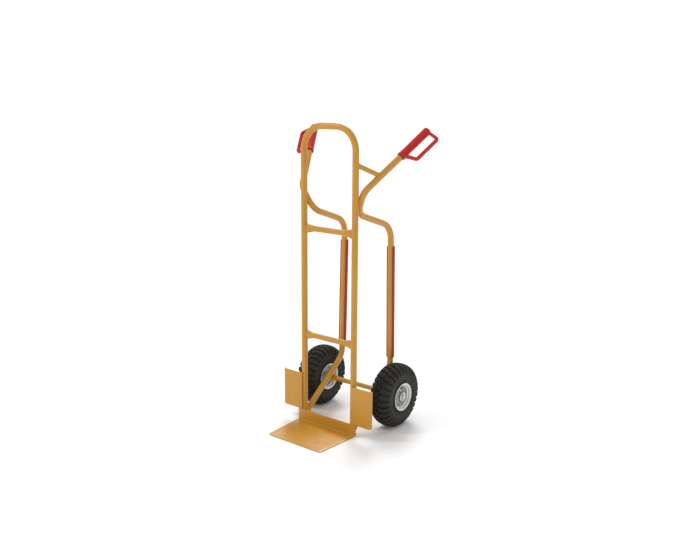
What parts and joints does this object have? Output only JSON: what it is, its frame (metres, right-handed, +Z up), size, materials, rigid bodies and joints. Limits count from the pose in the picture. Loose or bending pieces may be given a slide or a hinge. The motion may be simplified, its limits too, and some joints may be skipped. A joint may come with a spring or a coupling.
{
  "type": "hand truck",
  "caption": "Two-wheeled steel hand truck with a hooped tube frame, bent toe plate, splayed grips with knuckle guards, stair skids and pneumatic wheels.",
  "frame": {"origin": "on the floor, under the middle of the truck's bounding box", "axes": "+Z up, the toe plate points to -Y, the skids and wheels are towards +Y, the axle lies along X"},
  "size_m": [0.6776, 0.528, 1.212],
  "materials": {
    "yellow_paint": "glossy golden yellow paint on steel",
    "red_plastic": "moulded red plastic, satin gloss",
    "tyre_rubber": "black block-tread rubber",
    "butyl_rubber": "smooth black butyl rubber",
    "zinc_steel": "bright zinc-plated pressed steel",
    "bearing_steel": "ground steel rollers",
    "cage_nylon": "natural nylon",
    "black_plastic": "moulded black plastic"
  },
  "bodies": {
    "frame": {"loop_frame": "yellow_paint", "upper_crossbar": "yellow_paint", "lower_crossbar": "yellow_paint", "left_side_tube": "yellow_paint", "right_side_tube": "yellow_paint", "left_handle_brace": "yellow_paint", "right_handle_brace": "yellow_paint", "toe_plate": "yellow_paint", "left_wheel_guard": "yellow_paint", "right_wheel_guard": "yellow_paint", "axle": "yellow_paint", "left_axle_bracket": "yellow_paint", "right_axle_bracket": "yellow_paint", "axle_collars": "yellow_paint", "axle_washers": "zinc_steel", "split_pins": "zinc_steel", "left_skid_saddle": "yellow_paint", "right_skid_saddle": "yellow_paint", "left_skid_strip": "red_plastic", "right_skid_strip": "red_plastic", "skid_rivets": "zinc_steel", "left_handgrip": "red_plastic", "right_handgrip": "red_plastic", "grip_collars": "black_plastic", "foot_plugs": "black_plastic"},
    "left_wheel": {"left_tyre": "tyre_rubber", "left_inner_tube": "butyl_rubber", "left_outer_rim": "zinc_steel", "left_inner_rim": "zinc_steel", "left_rim_bolts": "zinc_steel", "left_rim_nuts": "zinc_steel", "left_hub_tube": "zinc_steel", "left_hub_seals": "black_plastic", "left_valve": "butyl_rubber", "left_valve_cap": "black_plastic"},
    "left_bearing": {"left_bearing_rollers": "bearing_steel", "left_bearing_cages": "cage_nylon"},
    "right_wheel": {"right_tyre": "tyre_rubber", "right_inner_tube": "butyl_rubber", "right_outer_rim": "zinc_steel", "right_inner_rim": "zinc_steel", "right_rim_bolts": "zinc_steel", "right_rim_nuts": "zinc_steel", "right_hub_tube": "zinc_steel", "right_hub_seals": "black_plastic", "right_valve": "butyl_rubber", "right_valve_cap": "black_plastic"},
    "right_bearing": {"right_bearing_rollers": "bearing_steel", "right_bearing_cages": "cage_nylon"}
  },
  "joints": [
    {"name": "left_wheel_spin", "type": "hinge", "parent": "frame", "child": "left_wheel", "pos_m": [-0.1925, 0.134, 0.13], "axis": [1, 0, 0], "continuous": true},
    {"name": "left_bearing_spin", "type": "hinge", "parent": "frame", "child": "left_bearing", "pos_m": [-0.1925, 0.134, 0.13], "axis": [1, 0, 0], "continuous": true},
    {"name": "right_wheel_spin", "type": "hinge", "parent": "frame", "child": "right_wheel", "pos_m": [0.1925, 0.134, 0.13], "axis": [1, 0, 0], "continuous": true},
    {"name": "right_bearing_spin", "type": "hinge", "parent": "frame", "child": "right_bearing", "pos_m": [0.1925, 0.134, 0.13], "axis": [1, 0, 0], "continuous": true}
  ],
  "couplings": [
    {"joint": "left_bearing_spin", "follows": "left_wheel_spin", "ratio": 0.6154},
    {"joint": "right_bearing_spin", "follows": "right_wheel_spin", "ratio": 0.6154}
  ]
}
